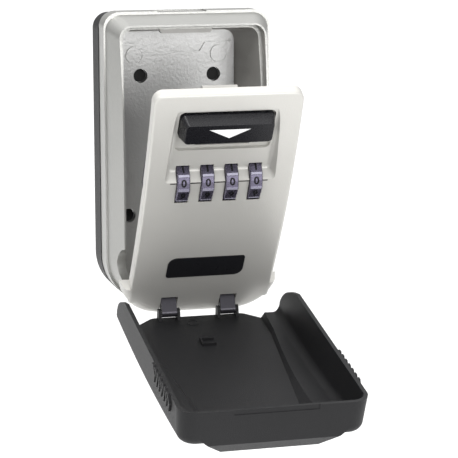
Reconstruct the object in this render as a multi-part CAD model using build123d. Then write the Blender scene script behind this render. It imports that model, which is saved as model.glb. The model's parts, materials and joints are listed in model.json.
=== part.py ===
"""Wall-mounted key lock box with a drop-down combination door and a hinged weather cover.

The box is modelled with its door and cover shut, Z measured up from the bottom of the housing, the wall
at Y = 0 and the front towards -Y.  The door is then swung open on its hinge, the cover is swung down from
the door, and everything is moved so that the origin is the centre of the back face, where the wall is.
"""
from build123d import *
import math
import os

# ---- driving dimensions, mm and degrees ------------------------------------------------------------
body_width = 80.0
body_height = 137.8
body_depth = 43.4          # deepest point of the convex front
top_corner = 7.5
bottom_corner = 22.0
band_depth = 14.2          # black rear cover
crease_depth = 25.2        # the straight silver sides end here and the tapered bezel begins
crease_step = 0.8
lip_inset = 5.0            # how far the bezel leans in by the time it reaches the lip
front_radius = 447.0       # side profile of the front
front_centre_z = 54.8

rear_wall = 1.5
rear_skirt = 2.2
rear_half = 40.3
rear_top = 137.0           # the black band stops just under the silver one
band_top = 138.4
back_plate = 2.0           # metal back of the housing
cavity_half_back = 28.4
cavity_half_front = 34.2
cavity_floor_back = 4.5
cavity_floor_front = 8.6
cavity_top_back = 127.5
cavity_top_front = 132.0
opening_half = 34.2
opening_top = 132.0
ledge_depth = 5.1          # the door's flange sits this far into the lip

upper_screw = (18.0, 106.3)    # half spacing and height of the wall screw holes
lower_screw = (24.5, 38.8)
wall_hole_radius = 3.4
upper_boss = (20.8, 116.1, 4.3)    # half spacing, height and radius
lower_boss = (25.0, 58.1, 2.9)

strike_x = (-14.7, 10.3)
strike_screws = (-12.5, 8.1)

hinge_depth = 28.0
hinge_z = 4.83
hinge_pin_radius = 1.25
hinge_lug_x = 22.0
hinge_lug_width = 4.2
running_gap = 0.05
door_angle = 32.1

door_half = 33.9
door_top = 131.6
door_corner = 4.6
door_flange = 4.8
door_wall = 2.0
plate_thickness = 2.2
chin_top = 21.6
chin_rear = 34.7
chin_wall = 2.4
chin_proud = 1.0           # the chin stands out past the bezel beside it
scoop_radius = 9.0
housing_cut_depth = 34.3

trough_floor_depth = 37.5
trough_floor_low = 90.1
trough_top = 124.0
trough_half = 23.4
pan_back_depth = 34.0
pocket_half = 21.8
pocket_low = 101.5
pocket_high = 123.2
pocket_depth = 36.0        # depth of the pocket's floor

dial_depth = 34.0
dial_z = 82.1
dial_radius = 10.85
dial_width = 5.8
dial_pitch = 11.16
dial_count = 4
cam_radius = 6.0
shaft_radius = 2.0

arm_x = 14.2
arm_width = 7.2
slot_width = 8.0
slot_top = 15.3
pivot_depth = 43.7
pivot_z = 7.36
cover_pin_radius = 1.1
cover_angle = 70.9
cover_half = 39.35         # inside the rim
cover_end = 137.2
cover_corner = 6.0
cover_draft = 0.07         # how fast the walls lean in
cover_wall = 1.8
cover_clear = 1.5          # between the shoulders and the door
cover_radius = 700.0       # side profile of the shoulders, flatter than the front
cover_rim_depth = 25.8
cover_floor_depth = 46.84

label_half = 18.2
label_z = (29.2, 41.6)

far = 80.0                 # longer than anything it cuts

hinge_axis = Axis((0, -hinge_depth, hinge_z), (1, 0, 0))
pivot_axis = Axis((0, -pivot_depth, pivot_z), (1, 0, 0))
dial_xs = [(i - (dial_count - 1) / 2) * dial_pitch for i in range(dial_count)]


# ---- shared shapes --------------------------------------------------------------------------------
def front_depth(z):
    """Depth of the convex front at height z."""
    return body_depth - (z - front_centre_z) ** 2 / (2 * front_radius)


def block(x, depth, z):
    """Box from pairs of limits: X, depth from the wall, Z."""
    box = Box(x[1] - x[0], depth[1] - depth[0], z[1] - z[0], align=(Align.MIN, Align.MIN, Align.MIN))
    return Pos(x[0], -depth[1], z[0]) * box


def rod(radius, x, depth, z):
    """Round bar along X between two X limits."""
    bar = Cylinder(radius, x[1] - x[0], align=(Align.CENTER, Align.CENTER, Align.MIN))
    return Pos(x[0], -depth, z) * (Rot(0, 90, 0) * bar)


def stud(radius, x, z, depth):
    """Round bar along Y between two depths."""
    bar = Cylinder(radius, depth[1] - depth[0], align=(Align.CENTER, Align.CENTER, Align.MIN))
    return Pos(x, -depth[0], z) * (Rot(90, 0, 0) * bar)


def group(shapes):
    """Several separate solids as one shape."""
    total = shapes[0]
    for shape in shapes[1:]:
        total += shape
    return total


def front_cylinder(inset=0.0, radius=front_radius):
    """Everything behind the convex front, or behind a surface parallel to it."""
    return rod(radius - inset, (-far, far), body_depth - radius, front_centre_z)


def outline(depth, low, high, half, low_radius, high_radius):
    """Flat face at one depth, with rounded corners. half gives the half width at a height."""
    y = -depth
    diagonal = 1 - math.sqrt(0.5)
    side_low, side_high = low + low_radius, high - high_radius
    middle = (side_low + side_high) / 2
    a, b, m = half(side_low), half(side_high), half(middle)
    if abs(m - (a + b) / 2) < 0.01:
        right = Line((a, y, side_low), (b, y, side_high))
        left = Line((-b, y, side_high), (-a, y, side_low))
    else:
        right = ThreePointArc((a, y, side_low), (m, y, middle), (b, y, side_high))
        left = ThreePointArc((-b, y, side_high), (-m, y, middle), (-a, y, side_low))
    low_bend, high_bend = low_radius * diagonal, high_radius * diagonal
    edges = [
        right,
        ThreePointArc((b, y, side_high), (b - high_bend, y, high - high_bend), (b - high_radius, y, high)),
        Line((b - high_radius, y, high), (high_radius - b, y, high)),
        ThreePointArc((high_radius - b, y, high), (high_bend - b, y, high - high_bend), (-b, y, side_high)),
        left,
        ThreePointArc((-a, y, side_low), (low_bend - a, y, low + low_bend), (low_radius - a, y, low)),
        Line((low_radius - a, y, low), (a - low_radius, y, low)),
        ThreePointArc((a - low_radius, y, low), (a - low_bend, y, low + low_bend), (a, y, side_low)),
    ]
    return Face(Wire([e.edge() for e in edges]))


def straight(half):
    """Half width that is the same at every height."""
    return lambda z: half


def prism(depth, low, high, half, low_radius, high_radius):
    """Rounded block between two depths."""
    face = outline(depth[0], low, high, straight(half), low_radius, high_radius)
    return extrude(face, amount=depth[1] - depth[0], dir=(0, -1, 0))


def lean(depth, z, inset):
    """How far the bezel leans in at a depth, where its lip stands at front_depth(z)."""
    share = (depth - crease_depth) / (front_depth(z) - crease_depth)
    return crease_step + (lip_inset - crease_step) * share + inset


def bezel_outline(depth, inset=0.0):
    """Section of the tapered front part of the body, shrunk by inset."""
    low = lean(depth, lip_inset, inset)
    high = body_height - lean(depth, body_height - lip_inset, inset)
    share = (depth - crease_depth) / (body_depth - crease_depth)
    return outline(depth, low, high, lambda z: body_width / 2 - lean(depth, z, inset),
                   bottom_corner - 4.0 * share - inset, top_corner - 2.0 * share - inset)


def bezel(inset=0.0, start=crease_depth):
    """Tapered front part of the body, before its front is rounded off."""
    return loft([bezel_outline(start, inset), bezel_outline(body_depth + 1.0, inset)], ruled=True)


def link(a, b, x):
    """Bar with round ends between two (depth, z, radius) centres, spanning X limits."""
    plane = Plane((x[0], 0, 0), x_dir=(0, 1, 0), z_dir=(1, 0, 0))
    circles = Pos(-a[0], a[1]) * Circle(a[2]) + Pos(-b[0], b[1]) * Circle(b[2])
    return extrude(plane * make_hull(circles.edges()), amount=x[1] - x[0])


def screw(x, z, head_depth, length, head_radius=2.2, radius=1.2, direction=-1):
    """Countersunk screw along Y. direction -1 drives it away from the wall, 1 towards it."""
    ends = sorted((head_depth, head_depth - direction * length))
    shank = stud(radius, x, z, ends)
    ends = sorted((head_depth, head_depth - direction * 1.4))
    head = Pos(x, -head_depth, z) * (Rot(90 * -direction, 0, 0) * Cone(
        head_radius, radius, 1.4, align=(Align.CENTER, Align.CENTER, Align.MIN)))
    drive = stud(0.9, x, z, sorted((head_depth + direction * 0.1, head_depth - direction * 0.7)))
    return head + shank - drive


# ---- housing --------------------------------------------------------------------------------------
def make_rear_cover():
    """Black tray that forms the rear band and the face against the wall."""
    tray = prism((0, band_depth), 0, rear_top, rear_half, bottom_corner, top_corner)
    tray = fillet(tray.faces().sort_by(Axis.Y)[-1].edges(), 1.0)
    inner = prism((rear_wall, far), rear_skirt, rear_top - rear_skirt, rear_half - rear_skirt,
                  bottom_corner - rear_skirt, top_corner - rear_skirt)
    tray -= inner
    for half, z in (upper_screw, lower_screw):
        for side in (-1, 1):
            tray -= stud(wall_hole_radius, side * half, z, (-1, rear_wall + 1))
    for half, z, _ in (upper_boss, lower_boss):
        for side in (-1, 1):
            sink = Cone(2.9, 1.4, 1.6, align=(Align.CENTER, Align.CENTER, Align.MIN))
            tray -= Pos(side * half, 0, z) * (Rot(90, 0, 0) * sink)
    return tray


def make_plateau():
    """Slightly raised lower field of the back wall, with a dip under the latch."""
    depth = rear_wall + back_plate
    points = [(-27.2, 12), (27.2, 12), (27.4, 121.9), (14.0, 121.9), (11.0, 117.4), (-17.2, 117.4),
              (-20.2, 121.9), (-27.4, 121.9)]
    field = Face(Wire.make_polygon([(x, -depth + 0.2, z) for x, z in points]))
    return extrude(field, amount=0.9, dir=(0, -1, 0))


def make_housing_shell():
    """Cast metal housing: back wall, straight sides, tapered bezel, lip and hinge sill."""
    pan = prism((rear_wall, band_depth), rear_skirt, rear_top - rear_skirt, rear_half - rear_skirt,
                bottom_corner - rear_skirt, top_corner - rear_skirt)
    sides = prism((band_depth, crease_depth), 0, band_top, body_width / 2, bottom_corner, top_corner)
    shell = pan + sides + (bezel() & front_cylinder())

    cavity = loft([
        outline(rear_wall + back_plate, cavity_floor_back, cavity_top_back, straight(cavity_half_back),
                14.0, 5.0),
        outline(45.0, cavity_floor_front, cavity_top_front, straight(cavity_half_front), 16.0, 4.6),
    ], ruled=True)
    opening = prism((20, far), 12.0, opening_top, opening_half, 5.0, 4.9) - front_cylinder(ledge_depth)
    shell = shell - cavity - opening

    lower_front = block((-far, far), (housing_cut_depth, far), (-5, chin_top - 1.0))
    shell -= lower_front
    shell -= rod(scoop_radius, (-far, far), housing_cut_depth + scoop_radius, chin_top - 1.0)
    swing = block((-far, far), (hinge_depth, far), (-5, hinge_z))
    swing -= rod(6.2, (-far, far), hinge_depth, hinge_z)
    shell -= swing
    for side in (-1, 1):
        x = side * hinge_lug_x
        window = hinge_lug_width / 2 + 0.3
        shell -= block((x - window, x + window), (hinge_depth - 5.5, far), (-1, 20))
        shell -= rod(hinge_pin_radius, sorted((side * 19.3, side * 29.4)), hinge_depth, hinge_z)

    shell += make_plateau()
    for half, z, radius in (upper_boss, lower_boss):
        for side in (-1, 1):
            base = rear_wall + back_plate + 0.2
            shell += stud(radius, side * half, z, (base, base + 1.2))
            shell -= stud(radius - 0.7, side * half, z, (base + 0.9, base + 2))
            shell -= stud(1.4, side * half, z, (rear_wall - 1, 3.75))
    for half, z in (upper_screw, lower_screw):
        for side in (-1, 1):
            shell -= stud(wall_hole_radius, side * half, z, (0, 6))
    shell -= block((-14.3, 9.3), (16.5, 27.0), (band_top - 0.5, band_top + 5))
    shell -= block((strike_x[0] - 0.1, strike_x[1] + 0.1), (24.9, 31.5), (120.0, 130.9))
    for x in strike_screws:
        shell -= Pos(x, -26.9, 131.0) * Cylinder(1.0, 6.0)
    return shell


def make_strike_plate():
    """Steel catch under the top lip that the latch bolt hooks behind."""
    plate = block(strike_x, (25.0, 31.4), (129.9, 130.9)) + block(strike_x, (29.4, 31.4), (128.6, 130.9))
    plate = chamfer(plate.edges().filter_by(Axis.Y).filter_by_position(Axis.Z, 128, 129), 1.0)
    for x in strike_screws:
        plate -= Pos(x, -26.9, 130.0) * Cylinder(1.0, 4.0)
    return plate


def make_strike_screws():
    """Two small screws that hold the strike up into the top of the housing."""
    screws = []
    for x in strike_screws:
        head = Pos(x, -26.9, 129.4) * Cylinder(1.5, 1.0)
        shank = Pos(x, -26.9, 131.4) * Cylinder(0.95, 3.2)
        drive = Pos(x, -26.9, 129.0) * Box(2.2, 0.5, 0.9)
        screws.append(head + shank - drive)
    return group(screws)


def make_hinge_pins():
    """Two short pins that carry the door."""
    spans = [sorted((side * 19.3, side * 29.4)) for side in (-1, 1)]
    pins = [rod(hinge_pin_radius, span, hinge_depth, hinge_z) for span in spans]
    return group(pins)


def make_rear_cover_screws():
    """Four countersunk screws that hold the rear cover to the housing."""
    screws = []
    for half, z, _ in (upper_boss, lower_boss):
        for side in (-1, 1):
            screws.append(screw(side * half, z, 0.25, 3.5, head_radius=2.3))
    return group(screws)


# ---- door -----------------------------------------------------------------------------------------
def make_trough():
    """Space of the shallow trough: a near-flat floor, leaning sides and a ramp at its lower end."""
    outer_depth = 45.0
    spread = (outer_depth - trough_floor_depth) * 0.45
    ramp = (outer_depth - trough_floor_depth) * 0.72
    floor_top = front_depth(trough_top)
    mouth_half = trough_half + spread
    mouth_low = trough_floor_low - ramp
    floor = [(-trough_half, trough_floor_depth, trough_floor_low),
             (trough_half, trough_floor_depth, trough_floor_low),
             (trough_half, floor_top, trough_top), (-trough_half, floor_top, trough_top)]
    mouth = [(-mouth_half, outer_depth, mouth_low), (mouth_half, outer_depth, mouth_low),
             (mouth_half, outer_depth, trough_top + 1), (-mouth_half, outer_depth, trough_top + 1)]
    wires = [Wire.make_polygon([(x, -depth, z) for x, depth, z in ring]) for ring in (floor, mouth)]
    space = loft([Face(w) for w in wires], ruled=True)
    inner = [e for e in space.edges() if e.center().Y > -outer_depth + 0.1]
    corners = [e for e in inner if e.center().Z < trough_top - 0.5]
    return fillet(corners, 2.0)


def make_door_shell():
    """Cast metal door: convex front, flange, trough, button pocket, dial windows, chin and hinge lugs."""
    plate = prism((20, far), 12.0, door_top, door_half, 2.0, door_corner)
    plate = plate & front_cylinder()
    plate = fillet(plate.faces().sort_by(Axis.Y)[0].edges(), 1.2) - front_cylinder(door_flange)
    hollow = prism((20, far), 0.0, door_top - door_wall, door_half - door_wall, 2.0, door_corner - door_wall)
    plate -= hollow & front_cylinder(plate_thickness)

    region = block((-far, far), (chin_rear, far), (-5, chin_top))
    chin = bezel(-chin_proud) & front_cylinder() & region
    rim = [e for e in chin.faces().sort_by(Axis.Y)[0].edges() if e.center().Z < chin_top - 0.5]
    chin = fillet(rim, 3.8)
    inside = bezel(chin_wall) & front_cylinder(chin_wall)
    inside &= block((-far, far), (20, far), (-5, chin_top - 2.0))
    shell = plate + (chin - inside)
    inner_half = door_half - door_wall
    shell -= block((-inner_half, inner_half), (20, 38.4), (chin_top - 3.0, chin_top + 3.0))

    pan = block((-26.4, 26.4), (pan_back_depth, 41.0), (84.0, 125.6)) & front_cylinder(0.5)
    shell += pan
    for x, z in back_screw_places():
        shell += stud(2.6, x, z, (36.0, 41.0)) & front_cylinder(0.5)
    shell -= make_trough()
    shell -= prism((pocket_depth, far), pocket_low, pocket_high, pocket_half, 2.5, 2.5)
    shell -= block((-12.6, 12.6), (30, 37), (103.0, 120.0))
    for x in dial_xs:
        span = (x - dial_width / 2 - 0.2, x + dial_width / 2 + 0.2)
        shell -= rod(dial_radius + 0.25, span, dial_depth, dial_z)
    shell -= rod(4.4, (-far, far), dial_depth, dial_z)

    for side in (-1, 1):
        x = side * hinge_lug_x
        span = (x - hinge_lug_width / 2, x + hinge_lug_width / 2)
        lug = link((hinge_depth, hinge_z, 3.0), (38.0, 12.5, 3.2), span)
        lug += block(span, (37.0, 40.8), (9.0, 19.0))
        shell += lug & front_cylinder(0.5) & bezel(0.5, start=20.0)
        shell -= rod(hinge_pin_radius + running_gap, (x - 5, x + 5), hinge_depth, hinge_z)
        arm = side * arm_x
        for rib in (-1, 1):
            centre = arm + rib * (slot_width / 2 + 0.8)
            cheek = block((centre - 0.8, centre + 0.8), (34.9, 42.0), (4.0, 19.0))
            shell += cheek & front_cylinder(0.5) & bezel(0.5)
        shell -= block((arm - slot_width / 2, arm + slot_width / 2), (chin_rear - 1, far), (-5, slot_top))
        shell -= rod(1.0, (arm - 6.0, arm + 6.0), 37.2, 11.0)

    shell -= (make_label_blank() - front_cylinder(0.6))
    shell -= block((-22.8, 22.2), (41.0, 50.0), (85.95, 86.45)) - front_cylinder(0.25)
    for x, z in back_screw_places():
        shell -= stud(1.1, x, z, (30, 39.5))
    return shell


def back_screw_places():
    """Where the four screws hold the lock's back cover to the door."""
    return [(-26.4, 73.0), (26.4, 73.0), (-26.4, 97.0), (26.4, 97.0)]


def make_label_blank():
    """Column with the outline of the name plate: two large corners and two small ones."""
    low, high = label_z
    plane = Plane((0, -30, 0), x_dir=(1, 0, 0), z_dir=(0, -1, 0))
    centre = (low + high) / 2
    sketch = plane * (Pos(0, centre) * Rectangle(2 * label_half, high - low))
    column = extrude(sketch, amount=30)
    corners = column.edges().filter_by(Axis.Y)
    large = [e for e in corners if e.center().X * (e.center().Z - centre) < 0]
    small = [e for e in corners if e.center().X * (e.center().Z - centre) > 0]
    column = fillet(large, 4.2)
    small = [e for e in column.edges().filter_by(Axis.Y) if abs(abs(e.center().X) - label_half) < 0.01
             and abs(abs(e.center().Z - centre) - (high - low) / 2) < 0.01]
    return fillet(small, 1.3)


def make_label_plate():
    """Blank black name plate, let into the door."""
    return (make_label_blank() & front_cylinder(-0.35)) - front_cylinder(0.6)


def make_index_line():
    """Thin reference line between and beside the dials."""
    line = block((-22.8, 22.2), (41.0, 50.0), (85.95, 86.45))
    line = (line & front_cylinder(-0.08)) - front_cylinder(0.25)
    for x in dial_xs:
        half = dial_width / 2 + 0.2
        line -= block((x - half, x + half), (30, 50), (80, 92))
    return line


def make_lock_cover():
    """Housing on the back of the door that holds the dials, their shaft and the latch plate."""
    box = block((-29.4, 29.4), (20.0, 45.0), (68.5, 101.0)) & front_cylinder(plate_thickness)
    inner = block((-23.4, 23.4), (21.8, 45.0), (70.3, 99.2))
    pan = block((-26.5, 26.5), (pan_back_depth, 45.0), (83.9, 125.7))
    cover = box - inner
    for x, z in back_screw_places():
        cover -= stud(2.7, x, z, (35.9, 45.0))
        cover -= stud(1.25, x, z, (15, 45.0))
        cover -= stud(2.5, x, z, (15, 22.0))
    retainer = block((-20.0, 20.0), (27.6, pan_back_depth), (101.0, 115.4))
    cover += retainer
    cover -= block((-17.2, 17.2), (29.2, pan_back_depth + 1), (96.4, 116.0))
    for i in range(dial_count - 1):
        x = (dial_xs[i] + dial_xs[i + 1]) / 2
        cover += block((x - 1.6, x + 1.6), (20.5, 36.4), (dial_z - 5.5, dial_z + 3.0))
    cover -= pan
    cover -= rod(shaft_radius, (-25.0, 25.0), dial_depth, dial_z)
    cover -= block((5.0, 18.0), (19.0, 22.5), (88.6, 91.4))
    cover -= block((4.0, 19.0), (21.0, 22.2), (87.0, 93.0))
    return cover


def make_lock_cover_screws():
    """Four screws through the lock's back cover into the door."""
    return group([screw(x, z, 20.6, 17.0, head_radius=2.3, radius=1.1) for x, z in back_screw_places()])


def make_dial_shaft():
    """Steel shaft that the dials turn on."""
    return rod(shaft_radius, (-25.0, 25.0), dial_depth, dial_z)


def make_detent_spring():
    """Leaf spring under the dials, with one raised click per dial."""
    leaf = block((-22.8, 22.8), (30.0, 37.5), (70.35, 70.7))
    for x in dial_xs:
        leaf += rod(0.35, (x - 2.0, x + 2.0), dial_depth, 70.7)
    return leaf


def make_dial(x):
    """Number ring with a broken edge and ten shallow marks between its numbers."""
    ring = rod(dial_radius, (x - dial_width / 2, x + dial_width / 2), dial_depth, dial_z)
    ring = chamfer(ring.edges(), 0.35)
    return ring - rod(cam_radius, (x - 5, x + 5), dial_depth, dial_z)


def make_dial_cam(x):
    """Inner sleeve of a dial, with the gate that the latch plate looks for."""
    cam = rod(cam_radius - 0.02, (x - dial_width / 2, x + dial_width / 2), dial_depth, dial_z)
    cam += rod(4.0, (x - dial_width / 2 - 0.8, x + dial_width / 2 + 0.8), dial_depth, dial_z)
    cam -= rod(shaft_radius + running_gap, (x - 5, x + 5), dial_depth, dial_z)
    cam -= block((x + 1.4, x + 5), (dial_depth - 1.2, dial_depth + 1.2), (dial_z + 4.4, dial_z + 8))
    return cam


def make_reset_lever():
    """Small slide on the back of the lock that lets the code be changed."""
    knob = fillet(block((6.0, 11.0), (17.4, 19.8), (87.6, 92.4)).edges().filter_by(Axis.Y), 1.0)
    neck = block((7.0, 10.0), (19.6, 21.6), (88.8, 91.2))
    foot = block((5.5, 11.5), (21.2, 22.0), (87.6, 92.4))
    return knob + neck + foot


def make_latch_button():
    """Black push-down button with bevelled sides, and the stem behind it."""
    sections = [
        outline(36.25, 109.0, 122.0, straight(21.3), 2.2, 2.2),
        outline(38.6, 108.9, 122.0, straight(21.3), 2.2, 2.2),
        outline(44.2, 110.2, 120.6, straight(19.9), 1.8, 1.8),
    ]
    button = loft(sections[:2], ruled=True) + loft(sections[1:], ruled=True)
    button = fillet(button.faces().sort_by(Axis.Y)[0].edges(), 0.5)
    button += block((-12.0, 12.0), (33.6, 37.0), (108.4, 118.6))
    for x in (-8.0, 8.0):
        button -= stud(1.0, x, 113.5, (30, 39))
    return button - make_arrow_inlay()


def make_arrow_inlay():
    """White triangle that points down on the button's face."""
    points = [(-9.4, 118.0), (9.2, 118.0), (0.0, 113.2)]
    face = Face(Wire.make_polygon([(x, -44.0, z) for x, z in points]))
    return extrude(face, amount=0.25, dir=(0, -1, 0))


def make_latch_plate():
    """Steel plate behind the button, with the bolt that hooks behind the strike."""
    plate = block((-17.0, 17.0), (32.0, 33.5), (104.0, 121.0))
    plate += block((-10.2, 5.8), (32.0, 33.5), (104.0, 124.0))
    plate += block((-10.2, 5.8), (25.8, 33.5), (122.5, 124.0))
    bolt = block((-10.2, 5.8), (25.8, 28.8), (122.5, 128.2))
    bolt = chamfer(bolt.edges().filter_by(Axis.X).sort_by(Axis.Z)[-2:].sort_by(Axis.Y)[0], 1.6)
    plate += bolt
    for x in (-8.0, 8.0):
        plate -= stud(1.1, x, 113.5, (30, 35))
    return plate


def make_latch_screws():
    """Two screws that join the latch plate to the button's stem."""
    screws = []
    for x in (-8.0, 8.0):
        head = stud(2.0, x, 113.5, (30.6, 32.0))
        slot = block((x - 2.5, x + 2.5), (30.0, 31.2), (113.2, 113.8))
        screws.append(head + stud(1.0, x, 113.5, (31.5, 38.5)) - slot)
    return group(screws)


def make_latch_springs():
    """Two coil springs that push the latch plate up."""
    springs = []
    for x in (-12.0, 12.0):
        path = Helix(pitch=1.05, height=7.1, radius=1.25)
        section = Plane(origin=path @ 0, z_dir=path % 0) * Circle(0.22)
        springs.append(Pos(x, -32.0, 96.65) * sweep(section, path=path))
    return group(springs)


def make_hinge_arm(side):
    """Black arm pinned into a slot of the chin; the weather cover turns on its outer end."""
    x = side * arm_x
    span = (x - arm_width / 2, x + arm_width / 2)
    arm = link((pivot_depth, pivot_z, 2.2), (38.2, 10.9, 2.6), span)
    arm += link((38.2, 10.9, 2.6), (36.9, 11.3, 2.6), span)
    arm -= rod(cover_pin_radius + running_gap, (x - 5, x + 5), pivot_depth, pivot_z)
    arm -= rod(1.0, (x - 5, x + 5), 37.2, 11.0)
    return arm


def make_arm_pins():
    """Cross pins that hold the two arms in the chin."""
    return group([rod(1.0, (side * arm_x - 5.6, side * arm_x + 5.6), 37.2, 11.0) for side in (-1, 1)])


# ---- weather cover --------------------------------------------------------------------------------
def cover_block(offset):
    """Space inside the cover's walls, offset outwards and far deeper than the cover."""
    rings = []
    for depth in (cover_rim_depth, far):
        draft = cover_draft * (depth - cover_rim_depth)
        half, end = cover_half - draft + offset, cover_end - draft + offset
        ring = [(-half, -12.0), (half, -12.0), (half, end), (-half, end)]
        rings.append(Face(Wire.make_polygon([(x, -depth, z) for x, z in ring])))
    space = loft(rings, ruled=True)
    corners = [e for e in space.edges() if e.center().Z > 100 and abs(e.center().X) > 30]
    return fillet(corners, cover_corner + offset)


def cover_field(grow):
    """Raised field along the cover's middle. It narrows towards the far end and clears the button."""
    rings = []
    base = (36.5, 34.4, 33.0, cover_end + 4.0)
    top = (cover_floor_depth + grow, 29.6, 19.5, 130.0)
    for depth, near, far_half, end in (base, top):
        near, far_half, end = near + grow, far_half + grow, end + grow
        ring = [(-near, -10.0), (near, -10.0), (near, 30.0), (far_half, end), (-far_half, end), (-near, 30.0)]
        rings.append(Face(Wire.make_polygon([(x, -depth, z) for x, z in ring])))
    return loft(rings, ruled=True)


def cover_edge():
    """Everything past the hinge end: a straight edge with a scoop at each side, and rounded ears."""
    half_edge = [(22.0, 6.2), (31.0, 13.6), (36.2, 13.6), (40.0, 11.4), (60.0, 11.4), (60.0, -20.0)]
    edge = half_edge + [(-x, z) for x, z in reversed(half_edge)]
    below = extrude(Face(Wire.make_polygon([(x, 0, z) for x, z in edge])), amount=far, dir=(0, -1, 0))
    bends = [e for e in below.edges().filter_by(Axis.Y) if abs(e.center().X) < 38 and e.center().Z > 0]
    below = fillet(bends, 4.5)
    bend = Spline([(0, -47.0, 11.0), (0, -38.3, 12.6), (0, -33.4, 16.5), (0, -29.7, 22.3), (0, -27.1, 29.0),
                   (0, -24.5, 37.0)])
    corners = [(0, -24.5, 37.0), (0, -24.5, -20.0), (0, -47.0, -20.0), (0, -47.0, 11.0)]
    side = Wire([bend.edge()] + [Line(a, b).edge() for a, b in zip(corners, corners[1:])])
    ears = extrude(Face(side), amount=far, dir=(1, 0, 0), both=True)
    return below + (ears - block((-37.0, 37.0), (0, far), (-far, far)))


def make_cover_shell():
    """Matte black tray that shuts over the door, with a raised field that clears the button."""
    outer = cover_block(cover_wall) & front_cylinder(-cover_clear - cover_wall, cover_radius)
    outer = fillet(outer.faces().sort_by(Axis.Y)[0].edges().filter_by_position(Axis.Z, -8.0, far * 2), 4.5)
    inner = cover_block(0.0) & front_cylinder(-cover_clear, cover_radius)
    inner = fillet(inner.faces().sort_by(Axis.Y)[0].edges().filter_by_position(Axis.Z, -8.0, far * 2), 3.5)
    field = cover_field(cover_wall) & cover_block(cover_wall)
    shell = outer + field - inner - (cover_field(0.0) & cover_block(0.0))
    shell -= cover_edge()

    for side in (-1, 1):
        for lug in (-1, 1):
            centre = side * arm_x + lug * (arm_width / 2 + 0.9)
            span = (centre - 0.65, centre + 0.65)
            cheek = link((pivot_depth, pivot_z, 2.0), (pivot_depth + 3.4, pivot_z + 0.6, 2.4), span)
            shell += cheek - block((-far, far), (cover_floor_depth + cover_wall - 0.2, far), (-far, far))
        shell -= rod(cover_pin_radius, (side * arm_x - 5.1, side * arm_x + 5.1), pivot_depth, pivot_z)
    shell += make_cover_clip()
    ring = stud(2.9, -3.9, 13.4, (cover_floor_depth - 0.2, cover_floor_depth + 0.3))
    shell += ring - stud(2.3, -3.9, 13.4, (cover_floor_depth - 1, cover_floor_depth + 1))
    strip_depth = (cover_rim_depth, cover_rim_depth + 2.2)
    strip = block((-18.3, 18.3), strip_depth, (cover_end + cover_wall - 0.4, cover_end + 8))
    return shell + make_grip_ribs() - strip


def make_cover_clip():
    """Small raised clip on the inside of the cover."""
    clip = block((-5.4, 1.2), (cover_floor_depth - 1.4, cover_floor_depth + 0.4), (32.0, 38.2))
    return clip - block((-4.6, 1.8), (cover_floor_depth - 3.0, cover_floor_depth), (32.8, 37.4))


def make_grip_ribs():
    """Chevron ribs on both sides of the cover."""
    ribs = None
    skin = cover_block(cover_wall + 1.0) - cover_block(cover_wall)
    for i in range(7):
        z = 93.0 + 4.4 * i
        points = [(cover_rim_depth, z), (29.5, z + 3.4), (34.0, z + 1.0), (34.0, z - 0.8), (29.5, z + 1.6),
                  (cover_rim_depth, z - 1.8)]
        face = Face(Wire.make_polygon([(-far, -depth, height) for depth, height in points]))
        rib = extrude(face, amount=2 * far, dir=(1, 0, 0)) & skin
        ribs = rib if ribs is None else ribs + rib
    return ribs


def make_cover_pins():
    """Two pins that join the cover to the arms."""
    spans = [(side * arm_x - 5.1, side * arm_x + 5.1) for side in (-1, 1)]
    pins = [rod(cover_pin_radius, span, pivot_depth, pivot_z) for span in spans]
    return group(pins)


# ---- assembly -------------------------------------------------------------------------------------
def on_door(shape):
    """Carry a shape from the shut door to the open one."""
    return shape.rotate(hinge_axis, door_angle)


def on_cover(shape):
    """Carry a shape from the shut cover to the open one, on the open door."""
    return on_door(shape.rotate(pivot_axis, cover_angle))


def save(name, shape):
    """Write one sub-part, moved so that the origin is the centre of the back face."""
    export_step(Pos(0, 0, -body_height / 2) * shape, f"parts/{name}.step")


def main():
    os.makedirs("parts", exist_ok=True)
    save("rear_cover", make_rear_cover())
    save("rear_cover_screws", make_rear_cover_screws())
    save("housing_shell", make_housing_shell())
    save("strike_plate", make_strike_plate())
    save("strike_screws", make_strike_screws())
    save("door_hinge_pins", make_hinge_pins())

    save("door_shell", on_door(make_door_shell()))
    save("label_plate", on_door(make_label_plate()))
    save("index_line", on_door(make_index_line()))
    save("lock_cover", on_door(make_lock_cover()))
    save("lock_cover_screws", on_door(make_lock_cover_screws()))
    save("dial_shaft", on_door(make_dial_shaft()))
    save("detent_spring", on_door(make_detent_spring()))
    for number, x in enumerate(dial_xs, start=1):
        save(f"dial_{number}", on_door(make_dial(x)))
        save(f"dial_cam_{number}", on_door(make_dial_cam(x)))
    save("reset_lever", on_door(make_reset_lever()))
    save("latch_button", on_door(make_latch_button()))
    save("arrow_inlay", on_door(make_arrow_inlay()))
    save("latch_plate", on_door(make_latch_plate()))
    save("latch_screws", on_door(make_latch_screws()))
    save("latch_springs", on_door(make_latch_springs()))
    save("hinge_arm_left", on_door(make_hinge_arm(-1)))
    save("hinge_arm_right", on_door(make_hinge_arm(1)))
    save("hinge_arm_pins", on_door(make_arm_pins()))

    save("cover_shell", on_cover(make_cover_shell()))
    save("cover_pins", on_cover(make_cover_pins()))


main()
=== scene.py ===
import json
import math

import bmesh
import bpy
from mathutils import Matrix, Vector


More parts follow.
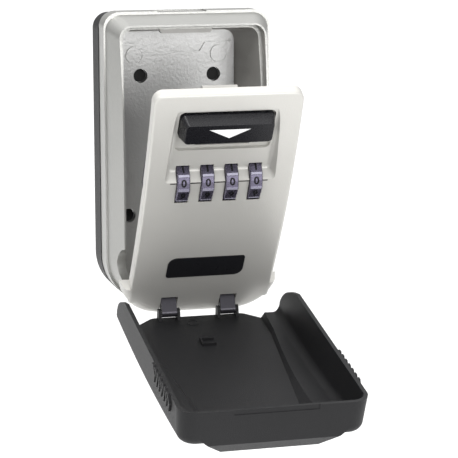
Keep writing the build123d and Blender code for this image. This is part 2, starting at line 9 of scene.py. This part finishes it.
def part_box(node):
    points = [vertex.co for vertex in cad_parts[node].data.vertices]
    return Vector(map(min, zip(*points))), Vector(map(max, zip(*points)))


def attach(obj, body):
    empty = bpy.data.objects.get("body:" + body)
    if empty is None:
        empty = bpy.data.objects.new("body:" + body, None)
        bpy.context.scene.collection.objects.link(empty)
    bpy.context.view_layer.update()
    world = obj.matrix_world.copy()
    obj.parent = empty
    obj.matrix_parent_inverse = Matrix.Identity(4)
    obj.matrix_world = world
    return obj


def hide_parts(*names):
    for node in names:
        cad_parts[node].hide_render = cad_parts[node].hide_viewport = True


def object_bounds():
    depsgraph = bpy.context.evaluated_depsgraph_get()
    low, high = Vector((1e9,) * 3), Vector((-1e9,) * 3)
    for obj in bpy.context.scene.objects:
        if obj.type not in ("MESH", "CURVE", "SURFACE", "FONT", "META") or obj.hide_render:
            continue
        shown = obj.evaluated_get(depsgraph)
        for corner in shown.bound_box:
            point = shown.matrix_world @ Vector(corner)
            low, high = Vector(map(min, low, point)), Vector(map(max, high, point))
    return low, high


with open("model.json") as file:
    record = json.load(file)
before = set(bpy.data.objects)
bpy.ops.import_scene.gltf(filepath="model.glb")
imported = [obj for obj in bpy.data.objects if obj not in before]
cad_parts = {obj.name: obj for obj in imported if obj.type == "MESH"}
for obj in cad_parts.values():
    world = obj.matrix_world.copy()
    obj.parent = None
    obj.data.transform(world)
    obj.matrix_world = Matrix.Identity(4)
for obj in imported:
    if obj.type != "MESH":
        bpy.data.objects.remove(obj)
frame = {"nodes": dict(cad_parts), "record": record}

low0, high0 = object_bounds()
scene = bpy.context.scene
record = frame["record"]
joints = {j["name"]: j for j in record["behaviour"]["joints"]}
mounts = {m["name"]: m for m in record["mounts"]}
slots = {s["node"]: s["material_slot"] for s in record["subparts"]}

MM = 0.001
door_angle = math.radians(32.1)    # how far the door stands open

# back wall inside the housing, and the room in front of it, in metres from the wall; these pick the faces
# that get painted light
back_wall = (-0.0053, -0.0032)
cavity = (-0.0375, -0.0033)
cavity_half_width = 0.0352
cavity_half_height = 0.0655
cavity_drop = 0.003                # its centre lies this far below the origin

# number rings
ring_radius = 10.85 * MM
ring_bore = 6.05 * MM
ring_edge = 0.4 * MM               # bevel at both rims
facet_dip = 0.28 * MM              # the middle of each facet lies this far below the bars
facet_edge_dip = 0.15 * MM
figure_dip = 0.1 * MM
figure_height = 3.7 * MM
figure_weight = 0.024              # thickens the strokes, for letters of size 1
figure_cuts = 15                   # strips that a figure is cut into, so that it can be bent
zero_angle = math.radians(27.9)    # where the 0 stands, from the door's normal towards its top
facet_step = math.radians(36)
bar_half = math.radians(4.2)
points_per_facet = 5

# camera
camera_place = Vector((-0.227849, -0.939470, 0.136812))
camera_right = Vector((0.9649226, -0.2625261, -0.0020932))
camera_up = Vector((0.0482228, 0.1693956, 0.9843677))
camera_ahead = Vector((0.2580676, 0.9499396, -0.1761134))


# ---- materials: procedural, no image textures -------------------------------------------------------
def surface(name, colour, rough, metal=0.0, vary=0.04, grain=400.0, bump=0.05, shine=0.5):
    """Principled material with noise in its colour, roughness and surface."""
    rough_vary = 0.06
    mat = bpy.data.materials.new(name)
    mat.use_nodes = True
    nodes, links = mat.node_tree.nodes, mat.node_tree.links
    shader = nodes["Principled BSDF"]
    shader.inputs["Metallic"].default_value = metal
    shader.inputs["Specular IOR Level"].default_value = shine
    place = nodes.new("ShaderNodeTexCoord")
    noise = nodes.new("ShaderNodeTexNoise")
    noise.inputs["Scale"].default_value = grain
    noise.inputs["Detail"].default_value = 3.0
    broad = nodes.new("ShaderNodeTexNoise")
    broad.inputs["Scale"].default_value = 18.0
    broad.inputs["Detail"].default_value = 2.0
    links.new(place.outputs["Object"], noise.inputs["Vector"])
    links.new(place.outputs["Object"], broad.inputs["Vector"])
    tint = nodes.new("ShaderNodeValToRGB")
    tint.color_ramp.elements[0].position = 0.3
    tint.color_ramp.elements[1].position = 0.7
    tint.color_ramp.elements[0].color = [c * (1 - vary) for c in colour] + [1]
    tint.color_ramp.elements[1].color = [min(1, c * (1 + vary)) for c in colour] + [1]
    links.new(broad.outputs["Fac"], tint.inputs["Fac"])
    links.new(tint.outputs["Color"], shader.inputs["Base Color"])
    spread = nodes.new("ShaderNodeMapRange")
    spread.inputs["To Min"].default_value = max(0.02, rough - rough_vary)
    spread.inputs["To Max"].default_value = min(1, rough + rough_vary)
    links.new(noise.outputs["Fac"], spread.inputs["Value"])
    links.new(spread.outputs["Result"], shader.inputs["Roughness"])
    relief = nodes.new("ShaderNodeBump")
    relief.inputs["Strength"].default_value = bump
    relief.inputs["Distance"].default_value = 0.2 * MM
    links.new(noise.outputs["Fac"], relief.inputs["Height"])
    links.new(relief.outputs["Normal"], shader.inputs["Normal"])
    return mat


# one finish for each material slot of the record
finishes = {
    "cast_metal": surface("cast_metal_look", (0.385, 0.385, 0.37), 0.36, metal=0.75, bump=0.5, grain=900),
    "door_metal": surface("door_metal_look", (0.52, 0.512, 0.485), 0.36, metal=0.25, bump=0.3, grain=1500),
    "black_plastic": surface("black_plastic_look", (0.011, 0.011, 0.012), 0.5, bump=0.5, grain=2600,
                             vary=0.15, shine=0.22),
    "button_black": surface("button_black_look", (0.007, 0.007, 0.009), 0.28, bump=0.08, grain=1800,
                            vary=0.1, shine=0.3),
    "arm_black": surface("arm_black_look", (0.055, 0.053, 0.062), 0.3, metal=0.7, bump=0.1, grain=900,
                         vary=0.15, shine=0.3),
    "dial_grey": surface("dial_grey_look", (0.115, 0.105, 0.15), 0.27, metal=0.75, grain=900, vary=0.08),
    "cam_metal": surface("cam_metal_look", (0.55, 0.42, 0.2), 0.3, metal=1.0),
    "steel": surface("steel_look", (0.4, 0.39, 0.37), 0.3, metal=1.0),
    "white_print": surface("white_print_look", (0.85, 0.85, 0.85), 0.5),
    "dark_print": surface("dark_print_look", (0.006, 0.006, 0.006), 0.6, shine=0.1),
    "label_black": surface("label_black_look", (0.010, 0.010, 0.012), 0.3, bump=0.03, shine=0.3),
    "lock_back": surface("lock_back_look", (0.05, 0.05, 0.055), 0.55, bump=0.2, grain=1500, shine=0.3),
}
extra = {
    # painted highlight: a pale material for the bars of the number rings, for the light they catch
    "painted_highlight_bar": surface("dial_bar_look", (0.30, 0.29, 0.37), 0.35, metal=0.3),
    "digit_ink": surface("digit_ink_look", (0.004, 0.004, 0.005), 0.5, shine=0.2),
    # painted light: a brighter copy of the housing metal for the back wall, which faces the front
    "painted_lit_back_metal": surface("back_metal_look", (0.47, 0.47, 0.465), 0.40, metal=0.55, bump=0.8, grain=700,
                          vary=0.12),
    "strike_metal": surface("strike_metal_look", (0.34, 0.335, 0.32), 0.5, metal=0.4),
    # painted light: a copy of the housing metal toned for the light in the hollow
    "painted_light_cavity_metal": surface("cavity_metal_look", (0.37, 0.36, 0.34), 0.4, metal=0.55, bump=0.5, grain=900),
    # painted shade for the screw holes, where the wall behind them lies in shadow
    "wall_shade": surface("wall_shade_look", (0.05, 0.05, 0.05), 0.9, shine=0.05),
    "floor": surface("floor_look", (0.94, 0.94, 0.94), 0.8, vary=0.005, bump=0.0, shine=0.1),
}


def dress(obj, mat):
    obj.data.materials.clear()
    obj.data.materials.append(mat)


def dress_housing(housing):
    """Painted light: the hammered back wall, which faces the front, gets a brighter copy of the metal, and
    the walls beside it a duller copy toned for the light in the hollow.
    """
    housing.data.materials.append(extra["painted_lit_back_metal"])
    housing.data.materials.append(extra["painted_light_cavity_metal"])
    turn = housing.matrix_world.to_3x3()
    for p in housing.data.polygons:
        centre, normal = housing.matrix_world @ p.center, turn @ p.normal
        inwards = Vector((-centre.x, 0, -centre.z - cavity_drop))
        inside = abs(centre.x) < cavity_half_width and abs(centre.z) < cavity_half_height
        if back_wall[0] < centre.y < back_wall[1] and normal.y < -0.3:
            p.material_index = 1
        elif cavity[0] < centre.y < cavity[1] and normal.dot(inwards) > 0 and inside:
            p.material_index = 2


for name, node in frame["nodes"].items():
    dress(node, finishes[slots[name]])
dress(frame["nodes"]["strike_plate"], extra["strike_metal"])
dress_housing(frame["nodes"]["housing_shell"])


# ---- number rings ----------------------------------------------------------------------------------
def new_mesh(name, verts, faces, mat, body):
    data = bpy.data.meshes.new(name)
    data.from_pydata([tuple(v) for v in verts], [], faces)
    data.update()
    obj = bpy.data.objects.new(name, data)
    scene.collection.objects.link(obj)
    obj.data.materials.append(mat)
    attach(obj, body)
    return obj


def make_figure(text):
    """Points and triangles of a flat character, centred, cut into strips so that it can be bent."""
    curve = bpy.data.curves.new("figure", "FONT")
    curve.body = text
    curve.align_x = "CENTER"
    curve.size = 1.0
    curve.offset = figure_weight
    holder = bpy.data.objects.new("figure", curve)
    scene.collection.objects.link(holder)
    bpy.context.view_layer.update()
    data = bpy.data.meshes.new_from_object(holder.evaluated_get(bpy.context.evaluated_depsgraph_get()))
    bpy.data.objects.remove(holder)
    bm = bmesh.new()
    bm.from_mesh(data)
    xs = [v.co.x for v in bm.verts]
    ys = [v.co.y for v in bm.verts]
    middle = Vector((max(xs) + min(xs), max(ys) + min(ys), 0)) / 2
    scale = figure_height / (max(ys) - min(ys))
    for v in bm.verts:
        v.co = (v.co - middle) * scale
    for i in range(-(figure_cuts // 2), figure_cuts // 2 + 1):
        geom = bm.verts[:] + bm.edges[:] + bm.faces[:]
        cut = (0, i * figure_height / figure_cuts, 0)
        bmesh.ops.bisect_plane(bm, geom=geom, plane_co=cut, plane_no=(0, 1, 0))
    bmesh.ops.triangulate(bm, faces=bm.faces[:])
    verts = [v.co.copy() for v in bm.verts]
    bm.verts.index_update()
    faces = [[v.index for v in f.verts] for f in bm.faces]
    bm.free()
    return verts, faces


def ring_point(axis, x, radius, angle):
    """Point of a ring: angle is from the door's normal towards its top."""
    a = angle - door_angle
    return Vector((x, axis.y - radius * math.cos(a), axis.z + radius * math.sin(a)))


def ring_profile():
    """Angle and radius of each point round a ring: ten hollow facets with a bar between each two."""
    points = []
    facet_edge = facet_step / 2 - bar_half
    bar_edge = facet_step / 2 - bar_half * 0.7
    bar_end = facet_step / 2 + bar_half * 0.7
    for k in range(10):
        centre = zero_angle + k * facet_step
        points.append((centre - facet_edge, ring_radius - facet_edge_dip))
        points.append((centre, ring_radius - facet_dip))
        points.append((centre + facet_edge, ring_radius - facet_edge_dip))
        points.append((centre + bar_edge, ring_radius))
        points.append((centre + bar_end, ring_radius))
    return points


def make_ring(number, axis, body):
    """Number ring with bevelled rims, as a band of six loops of points."""
    low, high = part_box(f"dial_{number}")
    profile = ring_profile()
    verts = []
    left, right = low.x, high.x
    flat_left, flat_right = left + ring_edge, right - ring_edge
    for x, inset in ((left, ring_edge), (flat_left, 0.0), (flat_right, 0.0), (right, ring_edge)):
        verts += [ring_point(axis, x, radius - inset, angle) for angle, radius in profile]
    for x in (right, left):
        verts += [ring_point(axis, x, ring_bore, angle) for angle, _ in profile]
    count = len(profile)
    faces = []
    for row in range(6):
        a, b = row * count, ((row + 1) % 6) * count
        for i in range(count):
            j = (i + 1) % count
            faces.append([a + i, a + j, b + j, b + i])
    ring = new_mesh(f"ring_{number}", verts, faces, finishes["dial_grey"], body)
    # painted highlight: the top of each bar gets the pale material
    ring.data.materials.append(extra["painted_highlight_bar"])
    for p in ring.data.polygons:
        row, i = divmod(p.index, count)
        if row == 1 and i % points_per_facet == 3:
            p.material_index = 1
    bm = bmesh.new()
    bm.from_mesh(ring.data)
    bmesh.ops.recalc_face_normals(bm, faces=bm.faces)
    bm.to_mesh(ring.data)
    bm.free()
    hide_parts(f"dial_{number}")


def make_figures(number, axis, body, figures):
    """The digits 0 to 9, bent round a ring."""
    low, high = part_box(f"dial_{number}")
    centre = (low.x + high.x) / 2
    verts, faces = [], []
    for digit, (points, triangles) in enumerate(figures):
        start = len(verts)
        for p in points:
            angle = zero_angle + digit * facet_step + p.y / ring_radius
            verts.append(ring_point(axis, centre + p.x, ring_radius - figure_dip, angle))
        faces += [[start + i for i in t] for t in triangles]
    ink = new_mesh(f"figures_{number}", verts, faces, extra["digit_ink"], body)


figures = [make_figure(str(digit)) for digit in range(10)]
for number in range(1, 5):
    spin = joints[f"dial_{number}_spin"]
    spin_axis = Vector(spin["pos_m"])
    make_ring(number, spin_axis, spin["child"])
    make_figures(number, spin_axis, spin["child"], figures)


# ---- stage, light and camera ------------------------------------------------------------------------
def make_hole_shades(name):
    """Painted shade: small dark discs at the wall end of the screw holes, for the shadowed wall behind
    them.
    """
    dims = mounts[name]["dims"]
    height = mounts[name]["pos_m"][2]
    radius = (dims["hole_r_mm"] - 0.1) * MM
    for i, side in enumerate((-1, 1)):
        place = (side * dims["spacing_x_mm"] / 2 * MM, -0.4 * MM, height)
        bpy.ops.mesh.primitive_cylinder_add(vertices=32, radius=radius, depth=0.2 * MM, location=place,
                                            rotation=(math.pi / 2, 0, 0))
        shade = bpy.context.object
        shade.name = f"{name}_shade_{i + 1}"
        dress(shade, extra["wall_shade"])


def make_floor():
    """Pale floor, far enough below to take no shadow."""
    bpy.ops.mesh.primitive_plane_add(size=30, location=(0, 0, low0.z - 0.35))
    floor = bpy.context.object
    floor.name = "floor"
    dress(floor, extra["floor"])


def make_sky(level, overhead):
    """Even studio light that grows brighter towards the ceiling."""
    world = bpy.data.worlds.new("studio")
    world.use_nodes = True
    nodes, links = world.node_tree.nodes, world.node_tree.links
    place = nodes.new("ShaderNodeTexCoord")
    split = nodes.new("ShaderNodeSeparateXYZ")
    links.new(place.outputs["Generated"], split.inputs["Vector"])
    height = nodes.new("ShaderNodeMath")
    height.operation = "MAXIMUM"
    height.inputs[1].default_value = 0.0
    links.new(split.outputs["Z"], height.inputs[0])
    square = nodes.new("ShaderNodeMath")
    square.operation = "POWER"
    square.inputs[1].default_value = 2.0
    links.new(height.outputs["Value"], square.inputs[0])
    gain = nodes.new("ShaderNodeMath")
    gain.operation = "MULTIPLY_ADD"
    gain.inputs[1].default_value = overhead
    gain.inputs[2].default_value = level
    links.new(square.outputs["Value"], gain.inputs[0])
    nodes["Background"].inputs["Color"].default_value = (1, 1, 1, 1)
    links.new(gain.outputs["Value"], nodes["Background"].inputs["Strength"])
    return world


def make_lamp(name, place, target, size, power):
    """Square area light that points at a target."""
    data = bpy.data.lights.new(name, "AREA")
    data.shape = "RECTANGLE"
    data.size, data.size_y = size, size
    data.energy = power
    obj = bpy.data.objects.new(name, data)
    obj.location = place
    obj.rotation_mode = "QUATERNION"
    obj.rotation_quaternion = (Vector(target) - Vector(place)).to_track_quat("-Z", "Y")
    scene.collection.objects.link(obj)


def make_camera():
    data = bpy.data.cameras.new("camera")
    data.sensor_width = 36.0
    data.lens = 157.99
    data.shift_x = -0.00245
    data.shift_y = -0.01131
    data.dof.use_dof = False
    data.clip_start = 0.01
    camera = bpy.data.objects.new("camera", data)
    scene.collection.objects.link(camera)
    turn = Matrix((camera_right, camera_up, -camera_ahead)).transposed()
    camera.matrix_world = Matrix.Translation(camera_place) @ turn.to_4x4()
    scene.camera = camera


for name in ("upper_screw_holes", "lower_screw_holes"):
    make_hole_shades(name)
make_floor()
scene.world = make_sky(0.42, 1.8)
make_lamp("key_light", (-0.25, -0.55, 0.75), (0, -0.06, 0), 0.3, 5.0)
make_lamp("front_light", (0.25, -1.2, 0.1), (0, -0.03, 0), 0.5, 4.5)
make_camera()
scene.view_settings.view_transform = "Standard"
